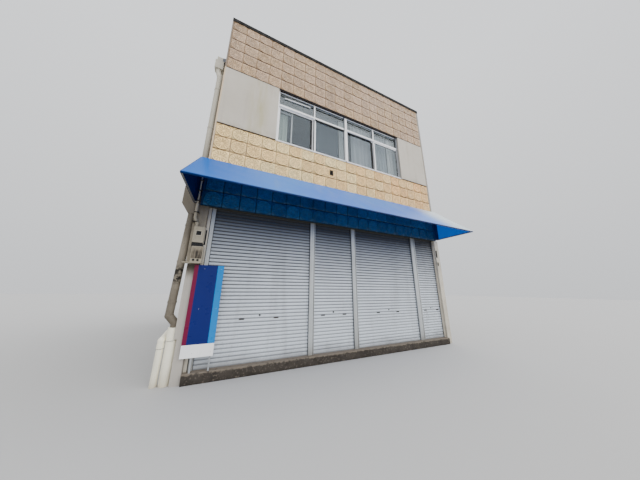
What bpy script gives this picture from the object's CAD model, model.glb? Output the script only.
import math

import bmesh
import bpy
from mathutils import Matrix, Vector


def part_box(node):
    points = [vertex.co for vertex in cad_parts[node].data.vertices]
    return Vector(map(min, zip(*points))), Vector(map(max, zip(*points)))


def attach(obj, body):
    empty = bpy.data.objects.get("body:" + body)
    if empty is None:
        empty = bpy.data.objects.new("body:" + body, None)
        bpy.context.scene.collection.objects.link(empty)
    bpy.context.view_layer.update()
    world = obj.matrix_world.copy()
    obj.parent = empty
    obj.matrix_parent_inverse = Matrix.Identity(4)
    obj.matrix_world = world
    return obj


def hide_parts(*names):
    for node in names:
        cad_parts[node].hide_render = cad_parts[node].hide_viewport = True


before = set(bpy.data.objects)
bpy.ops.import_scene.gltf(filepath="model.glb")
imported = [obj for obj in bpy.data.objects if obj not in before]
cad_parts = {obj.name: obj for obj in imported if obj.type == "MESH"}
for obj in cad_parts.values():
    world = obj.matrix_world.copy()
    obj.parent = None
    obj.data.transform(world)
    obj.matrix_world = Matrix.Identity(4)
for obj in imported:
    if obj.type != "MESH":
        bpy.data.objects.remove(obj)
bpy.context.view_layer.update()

# Camera. It stands in front of the shop, a little left of its middle and at a height of about
# 1.35 m, and looks up and to the right through a very wide lens.
eye_point = (-2.365, -7.294, 1.353)
turned_right, tilted_up, rolled = 23.68, 14.55, 0.43


def put(name, data):
    """A new object in the scene."""
    made = bpy.data.objects.new(name, data)
    bpy.context.scene.collection.objects.link(made)
    return made


lens = bpy.data.cameras.new("street_camera")
lens.sensor_width = 36
lens.lens = 10.776
lens.clip_end = 200
camera = put("street_camera", lens)
camera.matrix_world = (Matrix.Translation(eye_point)
                       @ Matrix.Rotation(math.radians(-turned_right), 4, "Z")
                       @ Matrix.Rotation(math.radians(90 + tilted_up), 4, "X")
                       @ Matrix.Rotation(math.radians(rolled), 4, "Z"))
bpy.context.scene.camera = camera

# Studio: a plain pale floor under an even pale sky, with one broad soft sun high up in front of
# the shop and to its right. It isn't part of the building.
sun_from = Vector((4.5, -4.5, 9.0))
floor_reach = 60.0
floor_gray = (0.42, 0.42, 0.42, 1)


def feed(socket, value):
    """Gives a socket a value, or joins a field or another node's output to it."""
    value = getattr(value, "socket", value)
    if isinstance(value, bpy.types.NodeSocket):
        socket.id_data.links.new(value, socket)
    else:
        socket.default_value = value


def fill(made, given):
    """Feeds several inputs of a node."""
    for name, value in given.items():
        feed(made.inputs[name], value)
    return made


def node(tree, kind, given=(), **settings):
    """A new node, a shader node unless its kind says otherwise, with its settings and inputs."""
    made = tree.nodes.new(kind if "Node" in kind else "ShaderNode" + kind)
    for name, value in settings.items():
        setattr(made, name, value)
    return fill(made, dict(given))


sky = bpy.data.worlds.new("pale_sky")
sky.use_nodes = True
sky_way = node(sky.node_tree, "TexCoord").outputs["Generated"]
sky_rise = node(sky.node_tree, "SeparateXYZ", {0: sky_way}).outputs["Z"]
sky_light = node(sky.node_tree, "MapRange", {"Value": sky_rise, "From Min": -0.05,
                                             "From Max": 0.75, "To Min": 0.92, "To Max": 1.30})
fill(sky.node_tree.nodes["Background"],
     {"Strength": sky_light.outputs["Result"], "Color": (0.95, 0.97, 1.0, 1)})
bpy.context.scene.world = sky

sun = bpy.data.lights.new("soft_sun", "SUN")
sun.energy = 3.5
sun.angle = math.radians(95)
sun.color = (1.0, 0.98, 0.95)
put("soft_sun", sun).matrix_world = sun_from.to_track_quat("Z", "Y").to_matrix().to_4x4()

floor_mesh = bpy.data.meshes.new("studio_floor")
floor_mesh.from_pydata(
    [(x * floor_reach, y * floor_reach, 0) for x, y in ((-1, -1), (1, -1), (1, 1), (-1, 1))],
    [], [(0, 1, 2, 3)])
studio_floor = put("studio_floor", floor_mesh)
floor_paint = bpy.data.materials.new("studio_floor")
floor_paint.use_nodes = True
fill(floor_paint.node_tree.nodes["Principled BSDF"], {"Base Color": floor_gray, "Roughness": 0.8})
floor_mesh.materials.append(floor_paint)

# Concrete: the ground floor slab, the worn dark kerb under the shutters and the plinths under
# the side and back walls. Cast in place, blotched, with fine sand grain and splashed mud low down.
z_shop_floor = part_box("front_kerb")[1].z


def tone(red, green, blue):
    """A colour as it is read off a screen, made linear. The colours that the functions below are
    given are read off a screen too."""
    return tuple((c / 255 / 12.92) if c <= 10 else ((c / 255 + 0.055) / 1.055) ** 2.4
                 for c in (red, green, blue)) + (1.0,)


class Field:
    """A value that varies over a surface. Arithmetic on it adds the shader nodes that it takes."""

    def __init__(self, socket):
        self.socket = socket
        self.tree = socket.id_data

    def math(self, how, other=0.0):
        """One step of arithmetic with a number or another field."""
        return Field(node(self.tree, "Math", {0: self, 1: other}, operation=how).outputs[0])

    def __add__(self, other):
        return self.math("ADD", other)

    def __sub__(self, other):
        return self.math("SUBTRACT", other)

    def __mul__(self, other):
        return self.math("MULTIPLY", other)

    def __abs__(self):
        return self.math("ABSOLUTE")

    def share(self, low, high, start=0.0, end=1.0):
        """Start below low, end above high, and a smooth step between."""
        step = node(self.tree, "MapRange", {"Value": self, "From Min": low, "From Max": high,
                                            "To Min": start, "To Max": end},
                    interpolation_type="SMOOTHSTEP")
        return Field(step.outputs["Result"])


def most(first, *others):
    """The largest of several fields."""
    for other in others:
        first = first.math("MAXIMUM", other)
    return first


def split(vector):
    """The three parts of a vector."""
    return [Field(part) for part in node(vector.tree, "SeparateXYZ", {0: vector}).outputs]


def place(tree):
    """Object coordinates, the same as places in the building."""
    return Field(node(tree, "TexCoord").outputs["Object"])


def axes(material):
    """The three coordinates of the object, for use in a material."""
    return split(place(material.node_tree))


def grain(tree, scale, detail=4.0, stretch=(1, 1, 1)):
    """Noise from 0 to 1 over the building, drawn out where stretch is under 1."""
    drawn_out = node(tree, "Mapping", {"Vector": place(tree), "Scale": stretch}).outputs["Vector"]
    noise = node(tree, "TexNoise", {"Vector": drawn_out, "Scale": scale, "Detail": detail})
    return Field(noise.outputs["Fac"])


def tint(how_much, first, second, how="MIX"):
    """The first colour, turned towards the second by how_much."""
    tree = next(given.tree for given in (how_much, first, second) if isinstance(given, Field))
    mixed = node(tree, "Mix", {0: how_much, 6: first, 7: second}, data_type="RGBA", blend_type=how)
    return Field(mixed.outputs[2])


def relief(height, depth, under=None):
    """Bump of a real depth in metres, over an earlier one if given."""
    bump = node(height.tree, "Bump", {"Distance": depth, "Height": height})
    if under is not None:
        feed(bump.inputs["Normal"], under)
    return Field(bump.outputs["Normal"])


def finish(name, roughness=0.7, metallic=0.0, coat=0.0):
    """A new material, with its node tree and its shader."""
    material = bpy.data.materials.new(name)
    material.use_nodes = True
    shader = fill(material.node_tree.nodes["Principled BSDF"],
                  {"Roughness": roughness, "Metallic": metallic, "Coat Weight": coat,
                   "Specular IOR Level": 0.25})
    return material, material.node_tree, shader


def weathered(name, colour, stain, roughness=0.7, metallic=0.0, patch=1.3, spread=0.12,
              streaks=0.35, specks=0.2, sand=0.0004, foot=None, marks=None):
    """Paint, plaster or sheet out of doors: uneven colour, runs of dirt down it, fine specks, and
    dirt that rises from foot[0] and fades out at foot[1]. marks adds a relief of its own."""
    material, tree, shader = finish(name, roughness, metallic)
    colour, stain = tone(*colour), tone(*stain)
    deep, pale = (tuple(min(c * part, 1) for c in colour[:3]) + (1.0,)
                  for part in (1 - spread, 1 + spread))
    surface = tint(grain(tree, patch).share(0.3, 0.7), deep, pale)
    runs = grain(tree, 5.0, 6.0, (1, 1, 0.08)).share(0.52, 0.78)
    dots = grain(tree, 55.0, 3.0).share(0.58, 0.72)
    surface = tint(runs * streaks, surface, stain)
    surface = tint(dots * specks, surface, stain)
    if foot is not None:
        rise = foot[1] - foot[0]
        uneven = grain(tree, 3.0) * rise + axes(material)[2]
        surface = tint(uneven.share(foot[1] + rise * 0.4, foot[0]) * 0.75, surface, stain)
    normal = relief(grain(tree, 160.0, 5.0), sand)
    if marks is not None:
        normal = relief(marks(material), 0.003, normal)
    dull = grain(tree, 9.0).share(0.2, 0.8, max(roughness - 0.12, 0.02), min(roughness + 0.12, 1))
    fill(shader, {"Base Color": surface, "Roughness": dull, "Normal": normal})
    return material


def repaint(material, *layers):
    """Lays colours over a material's own one, each where its mask is 1."""
    base = material.node_tree.nodes["Principled BSDF"].inputs["Base Color"]
    surface = base.links[0].from_socket
    for mask, colour in layers:
        surface = tint(mask, surface, tone(*colour))
    feed(base, surface)


def dress(material, *names):
    """Puts a finish on CAD nodes."""
    for name in names:
        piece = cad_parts[name]
        piece.data.materials.clear()
        piece.data.materials.append(material)


slab_concrete = weathered("slab_concrete", (126, 124, 118), (80, 75, 67), 0.85,
                          sand=0.0008, foot=(0.0, 0.25))
kerb_concrete = weathered("kerb_concrete", (62, 57, 52), (34, 30, 26), 0.9, patch=5.0,
                          spread=0.3, streaks=0.5, specks=0.5, sand=0.002, foot=(0.0, 0.08))
kerb_tree = kerb_concrete.node_tree
worn = grain(kerb_tree, 24.0, 5.0) * 0.09 + axes(kerb_concrete)[2]
worn_edge = worn.share(z_shop_floor + 0.018, z_shop_floor + 0.04)
chips = grain(kerb_tree, 30.0, 6.0).share(0.56, 0.66, 0.0, 0.55)
repaint(kerb_concrete, (most(worn_edge, chips), (112, 103, 92)))
dress(slab_concrete, "floor_slab", "left_plinth", "right_plinth", "back_plinth")
dress(kerb_concrete, "front_kerb")

# Walls: light framed walls under sprayed mortar, with soft blisters, cold joints at each storey
# and long rain streaks. The two pillars of the front are trowelled smooth and painted.
z_upper_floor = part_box("upper_floor")[1].z
z_awning_shade = 3.5
z_shelf = 1.75
post_side_x = -2.93


def sprayed(material):
    """Blistered mortar with a shallow level joint at the upper floor."""
    blisters = grain(material.node_tree, 38.0, 3.0).share(0.45, 0.62)
    from_joint = abs(axes(material)[2] - z_upper_floor)
    return blisters + from_joint.share(0.006, 0.012, -2.0, 0.0)


wall_mortar = weathered("wall_mortar", (164, 160, 150), (107, 101, 88), 0.9, sand=0.0012,
                        streaks=0.55, foot=(0.42, 0.9), marks=sprayed)
dress(wall_mortar, "left_wall", "right_wall", "back_wall")
lintel_mortar = weathered("lintel_mortar", (150, 146, 136), (98, 92, 80), 0.9,
                          streaks=0.55, sand=0.0012)
in_the_dark = axes(lintel_mortar)[2].share(z_awning_shade, z_awning_shade - 0.1)
repaint(lintel_mortar, (in_the_dark, (56, 54, 48)))
dress(lintel_mortar, "front_wall")
aged_mortar = weathered("aged_mortar", (141, 133, 118), (77, 70, 62), 0.85, patch=4.0,
                        spread=0.2, streaks=0.6, specks=0.45, sand=0.0008, foot=(0.0, 0.5))
aged_x, _, aged_z = axes(aged_mortar)
under_shelf = aged_z.share(z_shelf + 0.004, z_shelf) * aged_z.share(1.5, 1.72, 0.0, 0.8)
by_the_post = aged_x.share(post_side_x, post_side_x + 0.01, 0.0, 0.6)
under_head = aged_z.share(2.45, 2.82, 0.0, 0.75)
repaint(aged_mortar, (aged_z.share(z_shelf, z_shelf - 0.3, 0.0, 0.8), (184, 179, 172)),
        (most(under_shelf, by_the_post, under_head), (44, 38, 32)))
dress(aged_mortar, "left_pillar")
cream_mortar = weathered("cream_mortar", (202, 195, 180), (101, 90, 75), 0.8, patch=3.0,
                         streaks=0.5, specks=0.3, foot=(0.0, 0.5))
dress(cream_mortar, "right_pillar")

# Upper floor and ceiling: a boarded floor on joists and a matt board ceiling, seen only through
# the windows.
floor_boards = weathered("floor_boards", (110, 87, 64), (67, 50, 37), 0.6, sand=0.0003)
ceiling_board = weathered("ceiling_board", (171, 169, 161), (141, 133, 122), 0.9,
                          streaks=0.1)
dress(floor_boards, "upper_floor")
dress(ceiling_board, "upper_ceiling")

# Roof: painted steel sheet with standing seams on both slopes, under a bent ridge cap that is
# screwed down to the seams.
roof_paint = weathered("roof_paint", (77, 82, 90), (58, 52, 47), 0.45, metallic=0.3,
                       patch=0.8, streaks=0.4, sand=0.0002)
dress(roof_paint, "roof_left", "roof_right", "ridge_cap")


def fasten(name, data, slot):
    """Makes a mesh a piece of the building."""
    piece = put(name, data)
    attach(piece, "root")
    return piece


def add_rod(mesh, start, end, radius, sides=16):
    """A round bar between two points."""
    way = Vector(end) - Vector(start)
    turn = way.to_track_quat("Z", "Y").to_matrix().to_4x4()
    middle = Matrix.Translation((Vector(start) + Vector(end)) / 2)
    bmesh.ops.create_cone(mesh, cap_ends=True, segments=sides, radius1=radius, radius2=radius,
                          depth=way.length, matrix=middle @ turn)


def spread_tree():
    """Geometry nodes: a copy of a part on every point, turned by whole quarters about Y."""
    tree = bpy.data.node_groups.new("copies_on_points", "GeometryNodeTree")
    for name, kind in (("Geometry", "Geometry"), ("Part", "Object"), ("Quarter turns", "Int"),
                       ("Seed", "Int"), ("Finish", "Material")):
        tree.interface.new_socket(name, in_out="INPUT", socket_type="NodeSocket" + kind)
    tree.interface.new_socket("Geometry", in_out="OUTPUT", socket_type="NodeSocketGeometry")
    given = node(tree, "NodeGroupInput").outputs
    part = node(tree, "GeometryNodeObjectInfo", {"Object": given["Part"]})
    whole_low, whole_high, whole_drawn = 4, 5, 2
    quarters = node(tree, "FunctionNodeRandomValue",
                    {whole_low: 0, whole_high: given["Quarter turns"], "Seed": given["Seed"]},
                    data_type="INT").outputs[whole_drawn]
    angle = node(tree, "Math", {0: quarters, 1: math.pi / 2}, operation="MULTIPLY")
    about_y = node(tree, "CombineXYZ", {"Y": angle.outputs[0]})
    copies = node(tree, "GeometryNodeInstanceOnPoints",
                  {"Points": given["Geometry"], "Instance": part.outputs["Geometry"],
                   "Rotation": about_y.outputs["Vector"]})
    real = node(tree, "GeometryNodeRealizeInstances", {"Geometry": copies.outputs["Instances"]})
    coat = node(tree, "GeometryNodeSetMaterial",
                {"Geometry": real.outputs["Geometry"], "Material": given["Finish"]})
    node(tree, "NodeGroupOutput", {"Geometry": coat.outputs["Geometry"]})
    return tree


copies_on_points = spread_tree()


def spread(name, part, spots, material, slot, quarters=0, seed=0):
    """One mesh with a copy of the part at every spot."""
    sample_data = bpy.data.meshes.new(name + "_part")
    part.to_mesh(sample_data)
    part.free()
    sample = put(name + "_part", sample_data)
    points = bpy.data.meshes.new(name + "_points")
    points.from_pydata(spots, [], [])
    carrier = put(name + "_points", points)
    modifier = carrier.modifiers.new("copies", "NODES")
    modifier.node_group = copies_on_points
    values = {"Part": sample, "Quarter turns": quarters, "Seed": seed, "Finish": material}
    for socket in copies_on_points.interface.items_tree:
        if socket.in_out == "INPUT" and socket.name in values:
            modifier[socket.identifier] = values[socket.name]
    settled = carrier.evaluated_get(bpy.context.evaluated_depsgraph_get())
    data = bpy.data.meshes.new_from_object(settled)
    data.name = name
    bpy.data.objects.remove(carrier)
    bpy.data.objects.remove(sample)
    return fasten(name, data, slot)


def steps(start, end, pitch):
    """Even places from start to end, about a pitch apart, with half a step at both ends."""
    count = max(round((end - start) / pitch), 1)
    return [start + (end - start) * (i + 0.5) / count for i in range(count)]


def screw(radius, height, way):
    """A round screw head on its washer, standing up along way."""
    mesh = bmesh.new()
    out = Vector(way).normalized()
    washer_top = out * height * 0.4
    add_rod(mesh, Vector(), washer_top, radius * 1.7, 10)
    add_rod(mesh, washer_top, out * height, radius, 6)
    return mesh


cap_low, cap_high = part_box("ridge_cap")
half_cap = (cap_high.x - cap_low.x) / 2
cap_fold = 0.014
cap_fall = (cap_high.z - cap_low.z - cap_fold) / half_cap
screw_line = half_cap * 0.72
for side, word in ((-1, "left"), (1, "right")):
    spread("ridge_screws_" + word, screw(0.007, 0.008, (side * cap_fall, 0, 1)),
           [(side * screw_line, y, cap_high.z - screw_line * cap_fall - 0.001)
            for y in steps(cap_low.y, cap_high.y, 0.42)],
           roof_paint, "roof_sheet")

# Coping: dark folded sheet over the top of the front, in lengths that lap over joint strips and
# are held by screws through the front fold.
coping_sheet = weathered("coping_sheet", (7, 6, 5), (24, 19, 15), 0.8, streaks=0.25,
                         specks=0.3, sand=0.0002)
dress(coping_sheet, "parapet_coping")
cope_low, cope_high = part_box("parapet_coping")
coping_length, lap_half, sheet_gauge = 1.5, 0.03, 0.0015


def show(name, mesh, material, slot):
    """Turns a bmesh into a piece of the building."""
    data = bpy.data.meshes.new(name)
    mesh.to_mesh(data)
    mesh.free()
    data.materials.append(material)
    return fasten(name, data, slot)


def add_block(mesh, low, high, ease=0.0):
    """A block between two corners, its edges eased by a bevel."""
    size = Vector(high) - Vector(low)
    middle = Matrix.Translation((Vector(low) + Vector(high)) / 2)
    made = bmesh.ops.create_cube(mesh, size=1, matrix=middle @ Matrix.Diagonal((*size, 1)))
    if ease > 0:
        edges = {edge for corner in made["verts"] for edge in corner.link_edges}
        bmesh.ops.bevel(mesh, geom=list(edges), offset=ease, segments=2, affect="EDGES")


def blocks(name, spans, material, slot, ease=0.0):
    """One piece made of a block for each pair of corners. A third value gives a block an ease of
    its own."""
    mesh = bmesh.new()
    for low, high, *own_ease in spans:
        add_block(mesh, low, high, *(own_ease or [ease]))
    return show(name, mesh, material, slot)


blocks("coping_laps",
       [((x - lap_half, cope_low.y - sheet_gauge, cope_low.z),
         (x + lap_half, cope_high.y + sheet_gauge, cope_high.z + sheet_gauge))
        for x in steps(cope_low.x, cope_high.x, coping_length)[1:]],
       coping_sheet, "dark_metal", 0.0006)
spread("coping_screws", screw(0.005, 0.005, (0, -1, 0)),
       [(x, cope_low.y, cope_low.z + 0.02) for x in steps(cope_low.x, cope_high.x, 0.45)],
       coping_sheet, "dark_metal")

# Tile cladding: square glazed tiles, each with a raised ring and a medallion of petals, set in
# level rows with open joints. The rows behind the awning are painted blue.
tile_pitch = 0.3
level_joint = 0.018
upright_joint = 0.002
bed_depth = 0.009
tile_depth = bed_depth + 0.001
tile_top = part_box("upper_tiles")[0]
ring_sides = 16
vent_hole = (-0.49, 4.075, -0.41, 4.205)
vent_column, vent_row = 8, 1


def glazed(name, pale, warm, joint, coat, petals_seen, groove_seen=0.6, dirt=1.0,
           right_end=(1, 1, 1, 1), edge_seen=0.6):
    """Glaze that varies from tile to tile, with dirt in the joints and round the petals."""
    material, tree, shader = finish(name, coat=coat)
    pale, warm, joint = tone(*pale), tone(*warm), tone(*joint)
    on_grid = node(tree, "Mapping", {"Vector": place(tree), "Scale": [1 / tile_pitch] * 3,
                                     "Location": [-c / tile_pitch for c in tile_top]})
    x, _, z = split(Field(on_grid.outputs["Vector"]))
    column, row = x.math("FLOOR"), z.math("FLOOR")
    across, up = x.math("FRACT") - 0.5, z.math("FRACT") - 0.5
    cell = node(tree, "CombineXYZ", {"X": column, "Y": row})
    dice = node(tree, "TexWhiteNoise", {"Vector": cell.outputs["Vector"]}, noise_dimensions="2D")
    drawn = node(tree, "SeparateColor", {"Color": dice.outputs["Color"]}).outputs
    which_clay, how_light = Field(drawn[0]), Field(drawn[1]).share(0.0, 1.0, 0.88, 1.08)
    radius = (across * across + up * up).math("SQRT")
    petals = abs((up.math("ARCTAN2", across) * 6.0).math("SINE"))
    inside = radius.share(0.07, 0.14) * radius.share(0.40, 0.34)
    crease = (petals * -1.0 + 1.0) * inside
    rim = radius.share(0.40, 0.44) * radius.share(0.49, 0.45)
    edge = abs(up).share(0.435, 0.475)
    groove = radius.share(0.445, 0.47) * radius.share(0.515, 0.485)
    groove = groove * abs(across).share(0.43, 0.38)
    mottle = grain(tree, 34.0, 2.0).share(0.32, 0.68, 0.80, 1.14)
    blots = grain(tree, 26.0, 5.0).share(0.5, 0.72)
    runs = grain(tree, 3.0, 6.0, (1, 1, 0.12)).share(0.52, 0.8)
    clay = tint(1.0, tint(which_clay, pale, warm), how_light * mottle, "MULTIPLY")
    for seen, colour in ((blots * (0.22 * dirt), joint), (crease * petals_seen, joint),
                         (rim * (petals_seen * 0.8), pale), (edge * edge_seen, joint),
                         (groove * groove_seen, joint), (runs * (0.35 * dirt), joint)):
        clay = tint(seen, clay, colour)
    ring_and_petals = relief(petals * inside + rim, 0.007)
    fill(shader, {"Base Color": tint(column.share(6.0, 20.0), clay, right_end, "MULTIPLY"),
                  "Roughness": grain(tree, 14.0).share(0.2, 0.8, 0.32, 0.6),
                  "Normal": relief(grain(tree, 70.0, 4.0), 0.0008, ring_and_petals)})
    return material


def ring_tile():
    """One tile facing -Y: a flat middle, a raised ring near its edge and straight sides."""
    mesh = bmesh.new()
    half_w, half_h = (tile_pitch - upright_joint) / 2, (tile_pitch - level_joint) / 2
    ways = [(math.cos(math.tau * i / ring_sides), math.sin(math.tau * i / ring_sides))
            for i in range(ring_sides)]
    outlines = [[(reach * tile_pitch * c, out, reach * tile_pitch * s) for c, s in ways]
                for reach, out in ((0.36, 0.0), (0.41, -0.003), (0.455, 0.0005))]
    outlines += [[(c / max(abs(c), abs(s)) * half_w, y, s / max(abs(c), abs(s)) * half_h)
                  for c, s in ways] for y in (0.001, tile_depth)]
    loops = [[mesh.verts.new(point) for point in outline] for outline in outlines]
    mesh.faces.new(loops[0])
    for inner, outer in zip(loops, loops[1:]):
        for i in range(ring_sides):
            j = (i + 1) % ring_sides
            mesh.faces.new((inner[i], outer[i], outer[j], inner[j]))
    bmesh.ops.recalc_face_normals(mesh, faces=mesh.faces[:])
    for face in mesh.faces:
        face.smooth = face.normal.y < -0.5
        if face.normal.y > 0.5:
            face.normal_flip()
    return mesh


def border(x0, z0, x1, z1, hole):
    """Flat outlines that fill a rectangle round a hole: left, right, foot and head."""
    u0, w0, u1, w1 = hole
    return [(x0, z0, u0, z1), (u1, z0, x1, z1), (u0, z0, u1, w0), (u0, w1, u1, z1)]


def standing(outlines, front, back):
    """Pairs of corners of blocks that have flat outlines on the front, between two depths."""
    return [((x0, front, z0), (x1, back, z1)) for x0, z0, x1, z1 in outlines]


def clad(zone, word, material, bed_material, slot, seed, left_out=()):
    """Replaces one CAD zone of cladding by its bed and its tiles."""
    low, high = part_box(zone)
    columns, rows = (round((high[axis] - low[axis]) / tile_pitch) for axis in (0, 2))
    outline = (low.x, low.z, high.x, high.z)
    outlines = border(*outline, vent_hole) if left_out else [outline]
    backing = blocks(word + "_bed", standing(outlines, low.y + bed_depth, high.y),
                     bed_material, slot)
    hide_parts(zone)
    spots = [(low.x + (i + 0.5) * tile_pitch, low.y, low.z + (j + 0.5) * tile_pitch)
             for j in range(rows) for i in range(columns) if (i, j) not in left_out]
    spread(word, ring_tile(), spots, material, slot, 3, seed)


upper_glaze = glazed("upper_glaze", (202, 170, 140), (194, 162, 124), (64, 47, 36),
                     0.05, 0.6, 0.35, 1.2, edge_seen=0.95)
lower_glaze = glazed("lower_glaze", (255, 230, 168), (255, 212, 144), (112, 76, 46),
                     0.05, 0.55, 0.85, 0.4, (0.95, 0.78, 0.70, 1))
blue_glaze = glazed("blue_glaze", (17, 76, 114), (10, 62, 98), (4, 30, 48), 0.0, 0.25)
joint_mortar = weathered("joint_mortar", (58, 42, 30), (40, 30, 22), 0.9)
blue_joint = weathered("blue_joint", (8, 40, 64), (4, 22, 40), 0.85)
along_tile = ((axes(joint_mortar)[0] - tile_top.x) * (1 / tile_pitch)).math("FRACT")
repaint(joint_mortar, (abs(along_tile - 0.5).share(0.480, 0.482), (190, 164, 134)))
clad("upper_tiles", "upper_ring_tiles", upper_glaze, joint_mortar, "beige_tile", 3)
clad("lower_tiles", "lower_ring_tiles", lower_glaze, joint_mortar, "cream_tile", 5,
     ((vent_column, vent_row),))
clad("awning_band_tiles", "blue_ring_tiles", blue_glaze, blue_joint, "blue_tile", 7)

# Vent: a small square grille of dark sheet in the tile left open for it, with three louvres.
dark_sheet = weathered("dark_sheet", (43, 39, 35), (80, 70, 58), 0.6, specks=0.3)
vent_tile_x = tile_top.x + vent_column * tile_pitch
vent_tile_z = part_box("lower_tiles")[0].z + vent_row * tile_pitch
grille_lip = 0.005
louvre_z = (4.10, 4.135, 4.17)
louvre_x = (vent_hole[0] + 0.003, vent_hole[2] - 0.003)
louvre_y, louvre_gauge = (tile_top.y + 0.02, tile_top.y + 0.04), 0.006


def grown(outline, by):
    """A flat outline made larger on all four sides."""
    x0, z0, x1, z1 = outline
    return (x0 - by, z0 - by, x1 + by, z1 + by)


vent_tile = border(vent_tile_x + upright_joint / 2, vent_tile_z + level_joint / 2,
                   vent_tile_x + tile_pitch - upright_joint / 2,
                   vent_tile_z + tile_pitch - level_joint / 2, vent_hole)
blocks("vent_tile", standing(vent_tile, tile_top.y, tile_top.y + tile_depth), lower_glaze,
       "cream_tile")
grille = border(*grown(vent_hole, grille_lip), grown(vent_hole, -grille_lip))
louvres = [((louvre_x[0], louvre_y[0], z), (louvre_x[1], louvre_y[1], z + louvre_gauge), 0.0)
           for z in louvre_z]
blocks("vent_grille", standing(grille, tile_top.y - 0.004, louvre_y[0]) + louvres,
       dark_sheet, "dark_metal", 0.001)

# Plain panels: one sheet of painted board on each side of the window, pinned to the battens under
# it. A dark drip strip laps over the tiles below, and another runs over the window's head.
run_centre, run_half = -2.27, 0.30
panel_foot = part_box("ribbon_panels")[0].z
damp_rise = 0.22
foot_drip, head_drip = 0.012, 0.006


def panel_waves(material):
    """Shallow waves in the board, along its fixings."""
    return grain(material.node_tree, 1.6, 2.0, (1, 1, 0.3))


panel_paint = weathered("panel_paint", (192, 185, 173), (146, 134, 116), 0.55, streaks=0.4,
                        specks=0.12, spread=0.05, sand=0.0002, marks=panel_waves)
panel_tree = panel_paint.node_tree
panel_x, _, panel_z = axes(panel_paint)
rain_run = (abs(panel_x - run_centre).share(run_half, 0.0)
            * grain(panel_tree, 9.0, 4.0, (1, 1, 0.15)).share(0.25, 0.75))
damp_foot = (panel_z.share(panel_foot + damp_rise, panel_foot)
             * grain(panel_tree, 5.0, 4.0).share(0.35, 0.75))
repaint(panel_paint, (rain_run * 0.8, (172, 164, 122)), (damp_foot * 0.55, (128, 122, 102)))
dress(panel_paint, "ribbon_panels")
dark_paint = weathered("dark_paint", (55, 45, 39), (84, 73, 62), 0.5, metallic=0.2,
                       specks=0.3, sand=0.0002)


def solids(zone):
    """Boxes of the separate solids in a CAD node."""
    mesh = bmesh.new()
    mesh.from_mesh(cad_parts[zone].data)
    bmesh.ops.remove_doubles(mesh, verts=mesh.verts, dist=0.00002)
    left, boxes = set(mesh.verts), []
    while left:
        found, ahead = set(), [left.pop()]
        while ahead:
            corner = ahead.pop()
            found.add(corner)
            near = {edge.other_vert(corner) for edge in corner.link_edges} & left
            left -= near
            ahead += near
        boxes.append([Vector([pick(corner.co[axis] for corner in found) for axis in range(3)])
                      for pick in (min, max)])
    mesh.free()
    return sorted(boxes, key=lambda box: [round(c, 3) for c in box[0]])


left_panel, right_panel = solids("ribbon_panels")
glass_low, glass_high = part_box("window_glass")
head_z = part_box("window_frame")[1].z
drips = [((glass_low.x, glass_low.y - 0.032, glass_high.z - 0.002),
          (glass_high.x, glass_low.y - 0.0245, head_z)),
         ((left_panel[1].x, tile_top.y - 0.007, head_z - 0.016),
          (right_panel[0].x, tile_top.y + 0.02, head_z - 0.001))]
for low, high in (left_panel, right_panel):
    drips += [((low.x, low.y - foot_drip, low.z - 0.010), (high.x, low.y, low.z + 0.011), 0.002),
              ((low.x, low.y - head_drip, high.z - 0.004), (high.x, low.y, high.z + 0.007))]
blocks("panel_drips", drips, dark_paint, "dark_metal", 0.001)

# Corner trims: folded sheet down both ends of the cladding, in lengths that lap at each joint.
# The left one is paler on its front face under the upper tiles, and both are blue behind the
# awning.
trim_paint = weathered("trim_paint", (126, 110, 94), (77, 65, 54), 0.55, specks=0.3,
                       sand=0.0002)
trim_x, _, trim_z = axes(trim_paint)
trim_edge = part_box("corner_trims")[0].x
z_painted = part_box("awning_band_tiles")[1].z
z_trim_laps = (4.29, 6.09)
left_front = (trim_x.share(trim_edge + 0.001, trim_edge + 0.003) * trim_x.share(0.0, -1.0)
              * trim_z.share(tile_top.z, tile_top.z - 0.01))
repaint(trim_paint, (trim_x.share(-1.0, 1.0), (148, 141, 131)),
        (left_front, (204, 184, 156)),
        (trim_z.share(z_painted, z_painted - 0.01), (8, 37, 70)))
dress(trim_paint, "corner_trims")
blocks("trim_laps", [((low.x - 0.001, low.y - 0.0015, z - 0.02), (high.x + 0.001, low.y, z + 0.02))
                     for low, high in solids("corner_trims") for z in z_trim_laps],
       trim_paint, "trim_metal")

# Front window: white aluminium frame, sliding sashes and fixed top lights, with black rubber
# round the glass, a sill that throws the rain clear of the tiles, upright pull bars on the sashes
# and dark brush seals over and between them.
right_jamb_x = 1.860
middle_post_x = (-0.041, 0.002)
z_transom = 5.65
tall_pane = 0.6
gasket_face, gasket_proud = 0.007, 0.004
low_glass, top_glass = (0.13, 0.15, 0.17, 1), (0.22, 0.245, 0.265, 1)
sash_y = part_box("window_sashes")[0].y
inner_track, outer_track = sash_y + 0.0235, sash_y - 0.002
white_frame = weathered("white_frame", (244, 245, 246), (160, 156, 148), 0.4,
                        streaks=0.25, specks=0.15, spread=0.04, sand=0.0001)
frame_x = axes(white_frame)[0]
on_the_post = (frame_x.share(middle_post_x[0], middle_post_x[0] + 0.001)
               * frame_x.share(middle_post_x[1], middle_post_x[1] - 0.001))
on_the_jamb = frame_x.share(right_jamb_x, right_jamb_x + 0.002)
repaint(white_frame, (most(on_the_jamb, on_the_post), (150, 152, 155)))
dress(white_frame, "window_frame", "window_sashes")
rubber = weathered("rubber", (28, 28, 30), (50, 47, 43), 0.7, specks=0.1)


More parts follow.
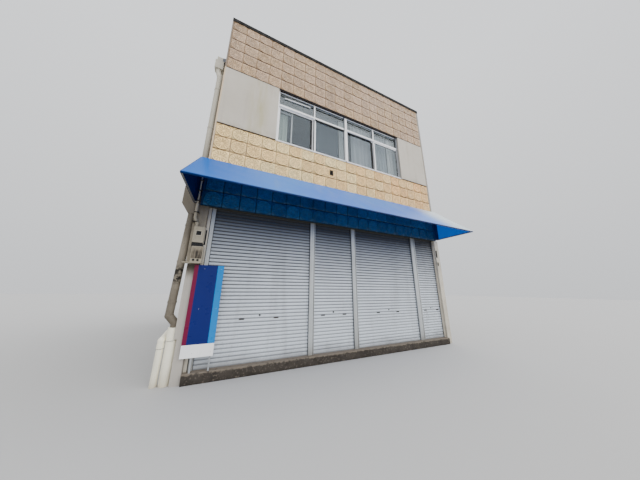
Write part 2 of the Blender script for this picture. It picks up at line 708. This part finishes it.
def let_through(tree, kind, colour, how_much):
    """Lets light through a material, by a share of another shader mixed into its own."""
    other = node(tree, kind, {"Color": colour})
    both = node(tree, "MixShader", {0: how_much, 1: tree.nodes["Principled BSDF"].outputs[0],
                                    2: other.outputs[0]})
    feed(tree.nodes["Material Output"].inputs["Surface"], both.outputs[0])


glass, glass_tree, glass_shader = finish("window_glass", metallic=1.0)
fill(glass_shader, {"Base Color": tint(axes(glass)[2].share(z_transom, z_transom + 0.01),
                                       low_glass, top_glass),
                    "Roughness": grain(glass_tree, 2.0).share(0.3, 0.8, 0.03, 0.12),
                    "Normal": relief(grain(glass_tree, 1.4, 2.0), 0.0008)})
let_through(glass_tree, "BsdfTransparent", (0.96, 0.98, 0.98, 1), 0.8)
dress(glass, "window_glass", "side_window_glass")


def strips(outline, wide):
    """Flat outlines of strips along the inside of a rectangle's foot, head and two sides."""
    x0, z0, x1, z1 = outline
    return [(x0, z0, x1, z0 + wide), (x0, z1 - wide, x1, z1),
            (x0, z0 + wide, x0 + wide, z1 - wide), (x1 - wide, z0 + wide, x1, z1 - wide)]


def gaskets(panes):
    """Blocks of the rubber strips round each pane, on both its faces."""
    spans = []
    for low, high in panes:
        thin = 0 if high.x - low.x < high.y - low.y else 1
        wide = 1 - thin
        outlines = strips((low[wide], low.z, high[wide], high.z), gasket_face)
        for start in (low[thin] - gasket_proud, high[thin]):
            for u0, z0, u1, z1 in outlines:
                first, last = [0.0, 0.0, z0], [0.0, 0.0, z1]
                first[thin], last[thin] = start, start + gasket_proud
                first[wide], last[wide] = u0, u1
                spans.append((first, last))
    return spans


def rods(name, spans, material, slot, sides=32):
    """One piece made of round bars, each given by its two ends and its radius."""
    mesh = bmesh.new()
    for start, end, radius in spans:
        add_rod(mesh, start, end, radius, sides)
    return show(name, mesh, material, slot)


front_panes = solids("window_glass")
blocks("front_window_rubber", gaskets(front_panes), rubber, "dark_metal")
tall_panes = sorted((pane for pane in front_panes if pane[1].z - pane[0].z > tall_pane),
                    key=lambda pane: pane[0].x)
seal_foot, seal_top = front_panes[1][0].z - 0.02, front_panes[1][1].z
seals = [((low.x, low.y - 0.020, high.z - 0.008), (high.x, low.y - 0.0105, high.z + 0.034))
         for low, high in tall_panes[1:3]]
seals += [((x0, y, seal_foot), (x1, y + 0.0015, seal_top))
          for x0, x1, y in ((-0.990, -0.948, inner_track), (-0.928, -0.9215, inner_track),
                            (-0.9210, -0.899, outer_track), (0.900, 0.962, inner_track),
                            (0.967, 0.981, outer_track))]
blocks("brush_seals", seals, rubber, "dark_metal")
blocks("sash_pull_bars",
       [((x0, sash_y + 0.002, seal_foot + 0.02), (x1, sash_y + 0.0098, seal_top))
        for x0, x1 in ((-0.885, -0.858), (1.002, 1.028))],
       white_frame, "white_aluminium", 0.001)
rods("top_light_bar", [((-1.69, -3.53, 5.937), (-1.023, -3.53, 5.963), 0.0155)], white_frame,
     "white_aluminium", 20)

# Inside the front window: curtains and a plain blind on a dark rail, and a light inner frame
# with a short curtain in the left bay. They hang free, a hand's width behind the glass.
curtain_y = -3.385
curtain_top, curtain_foot = 6.06, 4.50
fold_rows, fold_step = 14, 0.012
hem_spread = 0.004


def cloth(name, colour, low_shade):
    """Thin woven cloth that lets some light through."""
    material, tree, shader = finish(name, 0.9)
    colour, low_shade = tone(*colour), tone(*low_shade)
    weave = grain(tree, 240.0, 2.0).share(0.3, 0.7, 0.92, 1.0)
    surface = tint(grain(tree, 1.5, 3.0, (1, 1, 0.3)).share(0.3, 0.7), low_shade, colour)
    fill(shader, {"Base Color": tint(1.0, surface, weave, "MULTIPLY"),
                  "Normal": relief(grain(tree, 300.0, 2.0), 0.0004)})
    let_through(tree, "BsdfTranslucent", colour, 0.15)
    return material


def skin(mesh, first, second):
    """Faces between two rows of corners."""
    for corners in zip(first, first[1:], second[1:], second):
        mesh.faces.new(corners)


def smooth(mesh):
    """Points the faces one way and rounds the shading over them."""
    bmesh.ops.recalc_face_normals(mesh, faces=mesh.faces[:])
    for face in mesh.faces:
        face.smooth = True


def hang(name, x0, x1, material, fold, top=curtain_top, bottom=curtain_foot, depth=0.022):
    """A curtain in soft folds that open out a little towards its hem."""
    columns = max(int((x1 - x0) / fold_step), 4)
    mesh = bmesh.new()
    grid = []
    for j in range(fold_rows + 1):
        down = j / fold_rows
        line = []
        for i in range(columns + 1):
            x = x0 + (x1 - x0) * i / columns
            phase = (x - x0) / fold * math.tau
            swing = depth * (0.55 + 0.45 * down) * math.sin(
                phase + 0.6 * math.sin(phase * 0.31 + down))
            line.append(mesh.verts.new((x + hem_spread * math.cos(phase) * down,
                                        curtain_y + swing, top + (bottom - top) * down)))
        grid.append(line)
    for upper, lower in zip(grid, grid[1:]):
        skin(mesh, upper, lower)
    smooth(mesh)
    piece = show(name, mesh, material, "awning_vinyl")


pale_cloth = cloth("pale_cloth", (250, 252, 253), (228, 235, 238))
gray_cloth = cloth("gray_cloth", (210, 214, 222), (188, 196, 203))
green_cloth = cloth("green_cloth", (208, 220, 212), (176, 198, 188))
blind_cloth = cloth("blind_cloth", (98, 105, 114), (90, 97, 106))
blocks("curtain_rail", [((-1.86, curtain_y - 0.012, curtain_top + 0.002),
                         (2.02, curtain_y + 0.012, curtain_top + 0.03))],
       rubber, "dark_metal", 0.003)
hang("curtain_bay_2", -0.10, 0.16, pale_cloth, 0.11)
hang("curtain_bay_3", 0.30, 0.985, gray_cloth, 0.14)
hang("curtain_bay_4_left", 1.10, 1.60, gray_cloth, 0.12)
hang("curtain_bay_4_right", 1.62, 2.00, pale_cloth, 0.12)
hang("blind_bay_2", -0.86, -0.13, blind_cloth, 3.0, bottom=4.52, depth=0.004)
inner_outlines = ((-1.84, 5.59, -1.44, 5.62), (-1.475, 4.62, -1.445, 5.59),
                  (-1.84, 4.60, -1.44, 4.62), (-1.475, 5.62, -1.445, 5.75))
blocks("inner_frame", standing(inner_outlines, curtain_y - 0.05, curtain_y - 0.028), white_frame,
       "white_aluminium", 0.003)
hang("curtain_bay_1", -1.83, -1.56, green_cloth, 0.09, 5.59, 4.64, 0.014)

# Side and back windows: silver aluminium sliding windows set in the mortar, each with a folded
# sill and a small hood over it.
silver = weathered("silver_frame", (148, 149, 150), (94, 90, 86), 0.35, metallic=0.7,
                   streaks=0.2, specks=0.15, sand=0.0001)
dress(silver, "side_window_frames")
blocks("side_window_rubber", gaskets(solids("side_window_glass")), rubber, "dark_metal")
back_y, left_x = 3.4, -2.9
flashings = []
for low, high in solids("side_window_frames"):
    for z, rise, out, extra in ((low.z - 0.018, 0.018, 0.035, 0.02),
                                (high.z, 0.014, 0.075, 0.05)):
        if low.y > back_y:
            flashings.append(((low.x - extra, high.y, z), (high.x + extra, high.y + out, z + rise)))
        else:
            x0, x1 = (low.x - out, low.x) if low.x < left_x else (high.x, high.x + out)
            flashings.append(((x0, low.y - extra, z), (x1, high.y + extra, z + rise)))
blocks("window_flashings", flashings, silver, "white_aluminium", 0.002)

# Back door: a painted flush steel door with a round knob, in a steel frame, on three hinges.
door_paint = weathered("door_paint", (141, 144, 141), (92, 87, 79), 0.45, metallic=0.1,
                       streaks=0.3, foot=(0.4, 0.7))
dress(door_paint, "back_door")
hinge_x, hinge_y, hinge_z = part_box("back_door")[0].x + 0.036, 3.603, (0.62, 1.3, 1.98)
hinge_half, hinge_r = 0.05, 0.007
rods("door_hinges", [((hinge_x, hinge_y, z - hinge_half), (hinge_x, hinge_y, z + hinge_half),
                      hinge_r) for z in hinge_z], silver, "door_paint", 12)

# Roller shutters: slatted steel curtains under pale blue paint, with dust lying in the joints and
# soot towards the head. They run in guide posts of folded sheet.
slat_pitch = 0.0637
first_joint = z_shop_floor + 0.062
soot_from, soot_height = 1.0, 1.7
last_bay_x = 2.2
pillar_edges = (-2.866, 2.95)
curtain_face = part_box("shutter_1")[0].y
shutter_paint = weathered("shutter_paint", (212, 220, 229), (117, 114, 110), 0.5,
                          metallic=0.1, streaks=0.22, specks=0.16, spread=0.06, sand=0.0003,
                          foot=(0.15, 0.4))
slat_x, _, slat_z = axes(shutter_paint)
up_the_slat = ((slat_z - first_joint) * (1 / slat_pitch)).math("FRACT")
joint_dirt = most(up_the_slat.share(0.90, 1.0, 0.0, 0.9), up_the_slat.share(0.45, 0.14, 0.0, 0.9))
up_to_head = most((slat_z - soot_from) * (1 / soot_height), 0.0)
head_soot = up_to_head.math("POWER", 2.0).math("MINIMUM", 0.96)
grime = (slat_x.share(last_bay_x, last_bay_x + 0.06, 0.25, 0.7)
         * grain(shutter_paint.node_tree, 34.0, 6.0, (1, 1, 1.6)).share(0.54, 0.68))
repaint(shutter_paint, (head_soot, (22, 30, 38)), (grime, (110, 102, 104)),
        (joint_dirt * slat_z.share(0.3, 1.9, 0.55, 1.0), (43, 41, 43)))
dress(shutter_paint, "shutter_1", "shutter_2", "shutter_3", "shutter_4")
post_paint = weathered("post_paint", (185, 189, 190), (107, 100, 89), 0.45, metallic=0.2,
                       streaks=0.4, specks=0.2, spread=0.08, sand=0.0003, foot=(0.15, 0.6))
post_x, _, post_z = axes(post_paint)
by_the_pillars = most(post_x.share(pillar_edges[0], pillar_edges[0] - 0.004),
                      post_x.share(pillar_edges[1], pillar_edges[1] + 0.01))
repaint(post_paint, (by_the_pillars, (204, 197, 182)),
        (post_z.share(2.4, 2.85, 0.0, 0.6), (44, 40, 38)))
dress(post_paint, "shutter_posts")

# Shutter fittings: a round lock plate and two pulls low down on each curtain, brushes along its
# edges, and a dark groove down the face of each post but the last. The right pillar carries two
# small iron brackets.
lock_z = 0.90
pull_foot, pull_top, pull_half = 0.835, 0.86, 0.045
pillar_face = -3.56
brush_w, groove_w = 0.006, 0.010
posts = solids("shutter_posts")
fittings = bmesh.new()
for lock_x, *pulls in ((-1.87, -2.17, -1.57), (-0.37, -0.61, -0.10), (1.14, 0.82, 1.42),
                       (2.61, 2.40, 2.86)):
    add_rod(fittings, (lock_x, curtain_face + 0.008, lock_z),
            (lock_x, curtain_face + 0.001, lock_z), 0.016, 20)
    for x in pulls:
        add_block(fittings, (x - pull_half, curtain_face + 0.002, pull_foot),
                  (x + pull_half, curtain_face + 0.009, pull_top), 0.002)
show("shutter_locks", fittings, dark_sheet, "dark_metal")
blocks("guide_brushes",
       [((x, curtain_face - 0.004, z_shop_floor + 0.002),
         (x + brush_w, curtain_face - 0.0005, left[1].z - 0.002))
        for left, right in zip(posts, posts[1:]) for x in (left[1].x, right[0].x - brush_w)],
       rubber, "dark_metal")
grooves = []
for (low, high), part in zip(posts, (0.40, 0.80, 0.80, 0.72)):
    x = low.x + (high.x - low.x) * part
    grooves.append(((x, low.y - 0.0012, low.z + 0.001), (x + groove_w, low.y, high.z - 0.002)))
blocks("guide_grooves", grooves, dark_sheet, "dark_metal")
brackets = []
for x0, z0, x1, z1 in ((3.022, 2.29, 3.062, 2.50), (3.030, 2.05, 3.066, 2.16)):
    brackets += [((x0, pillar_face - 0.007, z0), (x1, pillar_face, z1)),
                 ((x0, pillar_face - 0.025, z0 + 0.02), (x0 + 0.012, pillar_face, z1 - 0.02))]
blocks("pillar_brackets", brackets, dark_sheet, "dark_metal", 0.001)

# Awning: one sheet of blue coated cloth stretched from the wall rail over the rafters and round
# the front bar, and carried on down at both ends as triangular end sheets.
bar_low, bar_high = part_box("awning_bars")
tube_r = 0.014
front_bar = Vector((0, bar_low.y + tube_r, bar_low.z + tube_r))
wall_rail = Vector((0, bar_high.y - tube_r, bar_high.z - tube_r))
up_slope = (wall_rail - front_bar).normalized()
off_slope = Vector((0, -up_slope.z, up_slope.y))
rafter_x = [(low.x + high.x) / 2 for low, high in solids("awning_rafters")]
end_x = (bar_low.x - 0.003, bar_high.x + 0.003)
lift = tube_r + 0.0012
wall_line = (wall_rail - front_bar).length + 0.003
slope_rows, wrap_rows, flap_rows, columns = 22, 10, 12, 220
wrap_turn = math.radians(200)
least_sag, bay_sag, crease = 0.0022, 0.013, 0.0012
full_along, full_across = 0.8, 0.9
flap_belly, flap_ripple = 0.007, 0.0025
end_low = bar_low.z
back_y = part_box("awning_ends")[1].y - 0.003
trim_low, trim_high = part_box("corner_trims")


def sag(x, along):
    """How far the cloth hangs in between two rafters, and lies down on a rafter, in metres."""
    rise = math.sin(math.pi * min(max(along / wall_line, 0), 1)) ** full_along
    for left, right in zip(rafter_x, rafter_x[1:]):
        if left <= x <= right:
            across = math.sin(math.pi * (x - left) / (right - left)) ** full_across
            wave = crease * math.sin(x * 9 + along * 14)
            return rise * (least_sag + (bay_sag + wave) * across)
    return rise * least_sag


def slope_point(x, along):
    """A point of the sheet over the slope, along it from the front bar."""
    return Vector((x, 0, 0)) + front_bar + up_slope * along + off_slope * (lift - sag(x, along))


top_along = wall_line + (tile_top.y - 0.0015 - slope_point(0, wall_line).y) / up_slope.y
cloth_mesh = bmesh.new()
cover = []
for i in range(columns + 1):
    x = end_x[0] + (end_x[1] - end_x[0]) * i / columns
    line = [slope_point(x, top_along * (1 - j / slope_rows)) for j in range(slope_rows + 1)]
    for k in range(1, wrap_rows + 1):
        turn = Matrix.Rotation(wrap_turn * k / wrap_rows, 4, "X")
        line.append(Vector((x, 0, 0)) + front_bar + turn @ (off_slope * lift))
    cover.append([cloth_mesh.verts.new(point) for point in line])
for first, second in zip(cover, cover[1:]):
    skin(cloth_mesh, first, second)
for line, out, corner_x in ((cover[0], -1, trim_low.x - 0.001),
                            (cover[-1], 1, trim_high.x + 0.001)):
    head = line[0].co
    tops = [cloth_mesh.verts.new((head.x, back_y, head.z))] + line[:slope_rows + 1]
    hung = [tops]
    for k in range(1, flap_rows + 1):
        down = k / flap_rows
        row = []
        for j, top in enumerate(tops):
            z = top.co.z + (end_low - top.co.z) * down
            belly = math.sin(math.pi * down) * math.sin(math.pi * j / (len(tops) - 1))
            swell = belly * (flap_belly + flap_ripple * math.sin(j * 0.9 + down * 5))
            row.append(cloth_mesh.verts.new((top.co.x + out * swell, top.co.y, z)))
        hung.append(row)
    for row in hung:
        start = row[0].co
        for part in (1 / 3, 2 / 3, 1):
            x = start.x + (corner_x - start.x) * part
            row.insert(0, cloth_mesh.verts.new((x, start.y, start.z)))
    for upper, lower in zip(hung, hung[1:]):
        skin(cloth_mesh, upper[::-out], lower[::-out])
smooth(cloth_mesh)

vinyl, vinyl_tree, vinyl_shader = finish("blue_vinyl")
vinyl_x, vinyl_y, vinyl_z = axes(vinyl)
left_end_x, faded_x, bleached_x = -3.2, -1.7, (1.8, 3.0)
dust = grain(vinyl_tree, 7.0, 5.0, (1, 0.15, 0.15)).share(0.5, 0.8) * 0.3
by_the_wall = abs(vinyl_x).share(3.0, 3.04) * vinyl_y.share(-3.598, -3.59)
in_shade = most(by_the_wall, vinyl_x.share(end_x[0] + 0.003, end_x[0] + 0.001))
weave = relief(grain(vinyl_tree, 420.0, 2.0), 0.0002)
fill(vinyl_shader, {"Base Color": tint(grain(vinyl_tree, 0.9, 3.0).share(0.3, 0.7),
                                       tone(0, 128, 244), tone(24, 142, 244)),
                    "Roughness": 0.35, "Coat Roughness": 0.2,
                    "Coat Weight": vinyl_x.share(left_end_x, faded_x, 0.03, 0.3),
                    "Specular IOR Level": vinyl_x.share(left_end_x, faded_x, 0.06, 0.25),
                    "Normal": relief(grain(vinyl_tree, 3.0, 3.0, (1, 0.4, 0.4)), 0.003, weave)})
repaint(vinyl, (dust, (120, 170, 216)),
        (vinyl_x.share(faded_x, left_end_x), (0, 106, 204)),
        (vinyl_x.share(*bleached_x, 0.0, 0.97), (230, 244, 246)),
        (vinyl_z.share(front_bar.z + 0.014, front_bar.z + 0.006), (8, 44, 100)),
        (vinyl_x.share(end_x[1] - 0.002, end_x[1] - 0.001), (4, 98, 190)),
        (in_shade, (8, 34, 96)))
let_through(vinyl_tree, "BsdfTranslucent", tint(in_shade, tone(0, 104, 206), tone(2, 6, 24)), 0.3)
awning = show("awning_sheet", cloth_mesh, vinyl, "awning_vinyl")
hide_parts("awning_cover", "awning_ends")

# Awning frame: galvanised steel tube, dulled and rust-marked at the joints.
tube_steel = weathered("tube_steel", (141, 141, 137), (92, 69, 50), 0.4, metallic=0.7,
                       streaks=0.15, specks=0.35, sand=0.0002)
dress(tube_steel, "awning_bars", "awning_rafters", "awning_end_frames")

# Meter boxes: two pale plastic boxes on the left pillar, the lower one on a small shelf, with the
# conduit that comes down to them.
box_plastic = weathered("box_plastic", (156, 148, 130), (70, 62, 52), 0.55, streaks=0.5,
                        specks=0.3, spread=0.1)
dress(box_plastic, "meter_boxes", "conduit")
ring_plastic = weathered("ring_plastic", (190, 182, 164), (90, 80, 68), 0.5, streaks=0.4,
                         specks=0.3)
stained_cover = weathered("stained_cover", (140, 130, 112), (34, 30, 26), 0.7, streaks=0.9,
                          specks=0.5, patch=20.0, spread=0.2)
soot_runs = grain(stained_cover.node_tree, 42.0, 4.0, (1, 1, 0.07)).share(0.38, 0.58, 0.4, 0.95)
repaint(stained_cover, (axes(stained_cover)[2].share(2.01, 1.93) * soot_runs, (40, 35, 30)))
lower_box, upper_box = solids("meter_boxes")
box_face = upper_box[0].y
cover_y = lower_box[0].y + 0.02
dial = (-3.025, 2.221, -2.951, 2.295)
ring_w = 0.009
knob_z, knob_out, knob_r = 1.805, 0.004, 0.018
side_x0, side_x1 = upper_box[0].x + 0.004, upper_box[1].x - 0.004
ring = strips(grown(dial, ring_w), ring_w)
blocks("meter_window_ring", standing(ring, box_face - 0.006, box_face), ring_plastic,
       "box_plastic", 0.001)
between_boxes = (side_x0, lower_box[1].z, side_x1, upper_box[0].z)
box_foot = (side_x0, upper_box[0].z, side_x1, upper_box[0].z + 0.012)
cover_gap = (-2.9128, 2.09, -2.890, 2.36)
dark_parts = bmesh.new()
for low, high in (standing([dial], box_face - 0.002, box_face)
                  + standing([between_boxes], box_face + 0.004, box_face + 0.06)
                  + standing([box_foot], box_face - 0.001, box_face)
                  + standing([cover_gap], -3.5144, -3.5132)):
    add_block(dark_parts, low, high)
for x in (-3.0, -2.94):
    add_rod(dark_parts, (x, cover_y, knob_z), (x, cover_y - knob_out, knob_z), knob_r, 20)
show("meter_dark_parts", dark_parts, rubber, "dark_metal")
blocks("meter_cover", [((-3.042, cover_y - 0.002, 1.83), (-2.893, cover_y, 2.02))], stained_cover,
       "box_plastic", 0.0005)
board_edge, saddle_back = -3.0525, -3.562
blocks("conduit_board", [((-3.118, -3.5635, 1.772), (board_edge, -3.552, 2.97)),
                         ((-3.09, -3.5595, 0.62), (board_edge, -3.548, 1.7535))],
       aged_mortar, "mortar", 0.002)
blocks("conduit_saddles", [((-3.119, front, z - 0.009), (-3.045, saddle_back, z + 0.009))
                           for z, front in ((2.47, -3.612), (2.64, -3.612), (2.86, -3.603),
                                            (3.06, -3.603), (3.26, -3.603))],
       dark_sheet, "dark_metal", 0.001)

# Gutters and downpipes: grey plastic, in lengths that are held by bands and end in sockets. The
# drain pipes at the ground are cream coloured, and moss has grown on the downpipe above them.
moss_z = 1.57
pipe_y = -3.465
pipe_top_x, waste_x = -3.127, -3.2576
lower_top, lower_foot = Vector((-3.172, pipe_y, 2.686)), Vector((-3.222, pipe_y, 0.95))
lower_band_z, upper_band_z = (2.42, 1.79, 1.15), (3.45, 4.5, 5.5)
band_r, band_half = 0.0605, Vector((0, 0, 0.016))
gutter_x0, gutter_x1, gutter_y = 3.142, 3.2515, (-3.42, 3.76)
hanger_z, hanger_pitch, hanger_half, hanger_gauge = 6.412, 0.9, 0.012, 0.005
pipe_gray = weathered("pipe_gray", (136, 128, 114), (58, 50, 40), 0.55, streaks=0.5,
                      specks=0.4, foot=(0.9, 2.6))
pipe_cream = weathered("pipe_cream", (240, 236, 216), (150, 134, 108), 0.5, streaks=0.35,
                       specks=0.2, foot=(0.0, 0.35))
dress(pipe_gray, "gutters", "downpipes")
dress(pipe_cream, "drain_pipes")
pipe_z = axes(pipe_gray)[2]
moss = (abs(pipe_z - moss_z).share(0.19, 0.06)
        * grain(pipe_gray.node_tree, 24.0, 5.0).share(0.44, 0.54))
repaint(pipe_gray, (pipe_z.share(3.0, 4.6), (240, 234, 216)),
        (pipe_z.share(1.95, 2.35, 0.0, 0.45), (60, 53, 44)), (moss, (30, 26, 20)))
band_spots = [lower_foot.lerp(lower_top, (z - lower_foot.z) / (lower_top.z - lower_foot.z))
              for z in lower_band_z]
band_spots += [Vector((pipe_top_x, pipe_y, z)) for z in upper_band_z]
rods("pipe_bands", [(spot - band_half, spot + band_half, band_r) for spot in band_spots],
     pipe_gray, "pipe_gray")
rods("socket_seals", [((x, pipe_y, z), (x, pipe_y, z + 0.0042), radius)
                      for x, z, radius in ((-3.1283, 0.596, 0.0762), (waste_x, 0.492, 0.0480))],
     rubber, "dark_metal")
hangers = []
for y in steps(*gutter_y, hanger_pitch):
    for x0, x1 in ((-gutter_x1, -gutter_x0), (gutter_x0, gutter_x1)):
        hangers.append(((x0, y - hanger_half, hanger_z),
                        (x1, y + hanger_half, hanger_z + hanger_gauge)))
blocks("gutter_hangers", hangers, roof_paint, "roof_sheet", 0.001)

# Standing sign: a painted board with plain bands of colour on two steel legs.
board_paint = {"roughness": 0.35, "streaks": 0.1, "specks": 0.05, "spread": 0.04, "sand": 0.0001}
foot_part = 0.13
print_depth = 0.0008
sign_blue = weathered("sign_blue", (4, 25, 100), (8, 20, 70), **board_paint)
sign_steel = weathered("sign_steel", (176, 180, 184), (110, 96, 84), 0.4, metallic=0.6,
                       streaks=0.2)
dress(sign_blue, "sign_board")
dress(sign_steel, "sign_legs")
board_low, board_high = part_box("sign_board")
board_w, board_h = board_high.x - board_low.x, board_high.z - board_low.z
print_y = board_low.y - print_depth
for name, colour, x0, x1, z0, z1 in (
        ("sign_red_stripe", (108, 8, 54), 0.0, 0.13, foot_part, 1.0),
        ("sign_cyan_stripe", (0, 124, 196), 0.78, 1.0, foot_part, 1.0),
        ("sign_white_foot", (246, 247, 248), 0.0, 1.0, 0.0, foot_part)):
    blocks(name, [((board_low.x + board_w * x0, print_y, board_low.z + board_h * z0),
                   (board_low.x + board_w * x1, board_low.y, board_low.z + board_h * z1))],
           weathered(name, colour, (75, 75, 80), **board_paint), "sign_blue")
spread("sign_screws", screw(0.0028, 0.002, (0, -1, 0)),
       [(x, print_y, z) for x in (board_low.x + 0.15, board_high.x - 0.041)
        for z in (board_low.z + 0.06, (board_low.z + board_high.z) / 2, board_high.z - 0.06)],
       sign_steel, "sign_steel")

bpy.context.view_layer.update()
